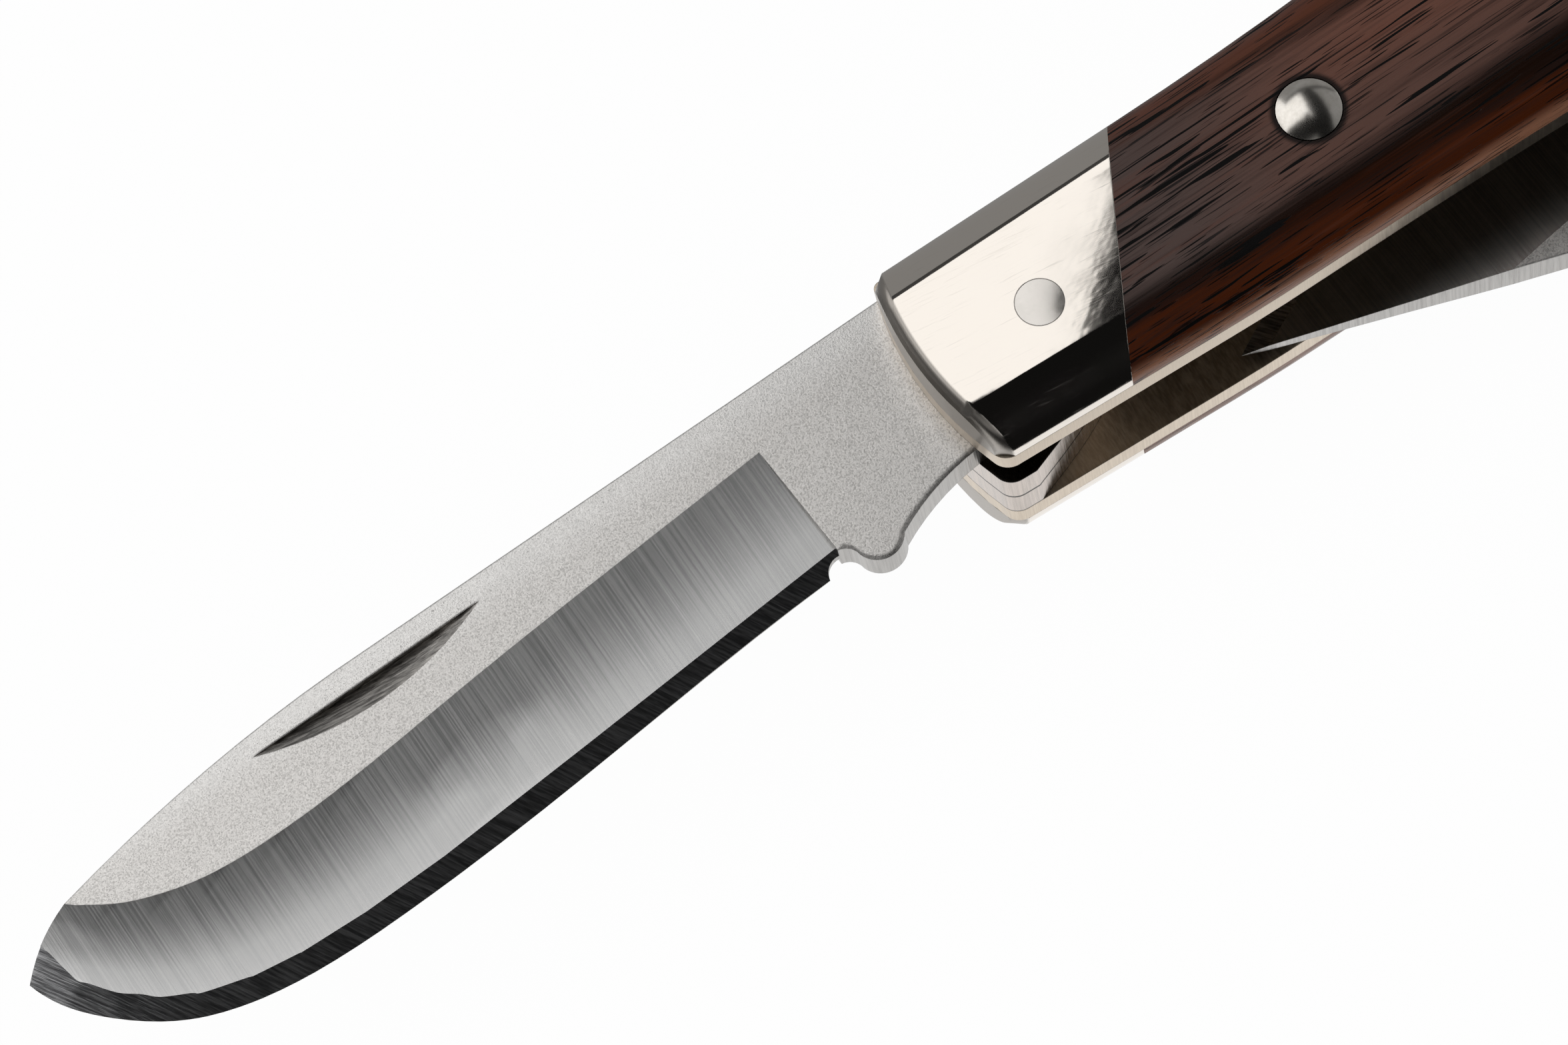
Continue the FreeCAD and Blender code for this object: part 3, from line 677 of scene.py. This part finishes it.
# A card across the room at one X
def endSheet(x, near, far, low, high):
    return [(x, near, low), (x, far, low), (x, far, high), (x, near, high)]


# Studio: a pale room and two lamps that don't show in the metal
floor = {"size": 4.0, "color": (0.90, 0.90, 0.90), "roughness": 0.9, "glow": 0.97}
roomLight = 0.50
lamps = {
    "key": {"power": 0.80, "size": (1.16, 0.19), "place": (-0.521, 0.225, 0.571), "turn": (-22, 0, 0)},
    "fill": {"power": 2.2, "size": (1.2, 1.2), "place": (-0.1, -0.3, 0.9), "turn": (18, 0, 0)},
}
# Cards that show only in the metal: a bright window overhead, a black flag beside it, and grey all round
room = {"left": -1.2, "right": 1.2, "near": -0.9, "far": 0.80, "top": 0.60}
windowHeight, flagHeight = 0.57, 0.59
windowOutline = [(-0.55, 0.085), (-0.13, 0.078), (-0.0975, 0.064), (-0.0585, 0.083), (-0.013, 0.110),
                 (0.016, 0.118), (0.022, 0.018), (0.036, 0.028), (0.042, 0.20), (0.0465, 0.2065),
                 (0.058, 0.221), (0.095, 0.48), (-0.55, 0.48)]
flagOutline = [(-0.06, -0.89), (0.38, -0.89), (0.32, -0.30), (-0.06, -0.30)]
cards = {
    "window": {"glow": 1.17, "faces": [[(x, y, windowHeight) for x, y in windowOutline]]},
    "left": {"glow": 1.1, "faces": [sheet(room["left"], -0.20, (0.48, windowHeight), (0.79, windowHeight)),
                                    sheet(room["left"], -0.20, (0.79, 0.12), (0.79, windowHeight))]},
    "right": {"glow": 0.42, "faces": [endSheet(1.19, room["near"], room["far"], 0.05, 0.58)]},
    "flag": {"glow": 0.006, "faces": [sheet(-0.60, 0.32, (-0.30, flagHeight), (0.50, flagHeight)),
                                      [(x, y, flagHeight) for x, y in flagOutline],
                                      sheet(0.0, 0.45, (-0.89, 0.0), (-0.89, flagHeight)),
                                      sheet(room["left"], room["right"], (-0.89, 0.0), (-0.014, 0.0))]},
    "ceiling": {"glow": 0.22, "faces": [sheet(room["left"], room["right"], (room["near"], room["top"]),
                                              (0.50, room["top"]))]},
    "front": {"glow": 0.35, "faces": [sheet(room["left"], room["right"], (room["near"], 0.0),
                                            (room["near"], room["top"]))]},
    "side": {"glow": 0.24, "faces": [sheet(0.30, 0.80, (-0.1, windowHeight), (0.48, windowHeight))]},
    "gap": {"glow": 0.05, "faces": [sheet(-0.20, room["right"], (0.50, room["top"]), (0.56, 0.504))]},
    "beyond": {"glow": 0.24, "faces": [sheet(-0.20, room["right"], (0.56, 0.504), (room["far"], 0.12)),
                                       sheet(room["left"], room["right"], (room["far"], 0.0),
                                             (room["far"], 0.12)),
                                       sheet(room["left"], room["right"], (0.013, 0.0), (room["far"], 0.0))]},
    "end": {"glow": 0.10, "faces": [endSheet(room["left"], room["near"], room["far"], 0.0, room["top"])]},
}


def areaLamp(name, facts):
    data = bpy.data.lights.new(name, "AREA")
    data.shape = "RECTANGLE"
    data.size, data.size_y = facts["size"]
    data.energy = facts["power"]
    lamp = bpy.data.objects.new(name, data)
    lamp.location = facts["place"]
    lamp.rotation_euler = [math.radians(angle) for angle in facts["turn"]]
    lamp.visible_camera = False
    lamp.visible_glossy = False
    scene.collection.objects.link(lamp)


def addCard(name, facts):
    corners, faces = [], []
    for face in facts["faces"]:
        faces.append(range(len(corners), len(corners) + len(face)))
        corners += face
    mesh = bpy.data.meshes.new(name + "Card")
    mesh.from_pydata(corners, [], faces)
    material = bpy.data.materials.new(name + "Card")
    material.use_nodes = True
    tree = material.node_tree
    glow = tree.nodes.new("ShaderNodeEmission")
    glow.inputs["Strength"].default_value = facts["glow"]
    tree.links.new(glow.outputs[0], tree.nodes["Material Output"].inputs["Surface"])
    mesh.materials.append(material)
    plane = newPiece(name + "Card", mesh)
    for ray in ("camera", "diffuse", "transmission", "shadow"):
        setattr(plane, "visible_" + ray, False)


# White to the camera and in the metal, but lit as a pale floor, so it keeps a little of the knife's shadow
def floorMaterial():
    material = bpy.data.materials.new("paleFloor")
    material.use_nodes = True
    tree = material.node_tree
    shader = tree.nodes["Principled BSDF"]
    shader.inputs["Base Color"].default_value = (*floor["color"], 1)
    shader.inputs["Roughness"].default_value = floor["roughness"]
    shader.inputs["Specular IOR Level"].default_value = 0.0
    path = tree.nodes.new("ShaderNodeLightPath")
    seen = Wire(path.outputs["Is Camera Ray"]) + Wire(path.outputs["Is Glossy Ray"])
    seen = seen + Wire(path.outputs["Is Transmission Ray"])
    seen = seen.maths("MINIMUM", seen, 1.0) * floor["glow"]
    glow = tree.nodes.new("ShaderNodeEmission")
    glow.inputs["Color"].default_value = (1, 1, 1, 1)
    mixed = tree.nodes.new("ShaderNodeMixShader")
    tree.links.new(seen.socket, mixed.inputs["Fac"])
    tree.links.new(shader.outputs[0], mixed.inputs[1])
    tree.links.new(glow.outputs[0], mixed.inputs[2])
    tree.links.new(mixed.outputs[0], tree.nodes["Material Output"].inputs["Surface"])
    return material


def setStudio():
    half = floor["size"] / 2
    low = cadBox[0][2]
    mesh = bpy.data.meshes.new("floor")
    mesh.from_pydata(sheet(-half, half, (-half, low), (half, low)), [], [(0, 1, 2, 3)])
    mesh.materials.append(floorMaterial())
    newPiece("floor", mesh)
    world = bpy.data.worlds.new("paleRoom")
    world.use_nodes = True
    world.node_tree.nodes["Background"].inputs["Color"].default_value = (roomLight, roomLight, roomLight, 1)
    scene.world = world
    for name, facts in lamps.items():
        areaLamp(name, facts)
    for name, facts in cards.items():
        addCard(name, facts)


setCamera()
setStudio()
scene.view_settings.view_transform = "Standard"
print("camera and studio set")
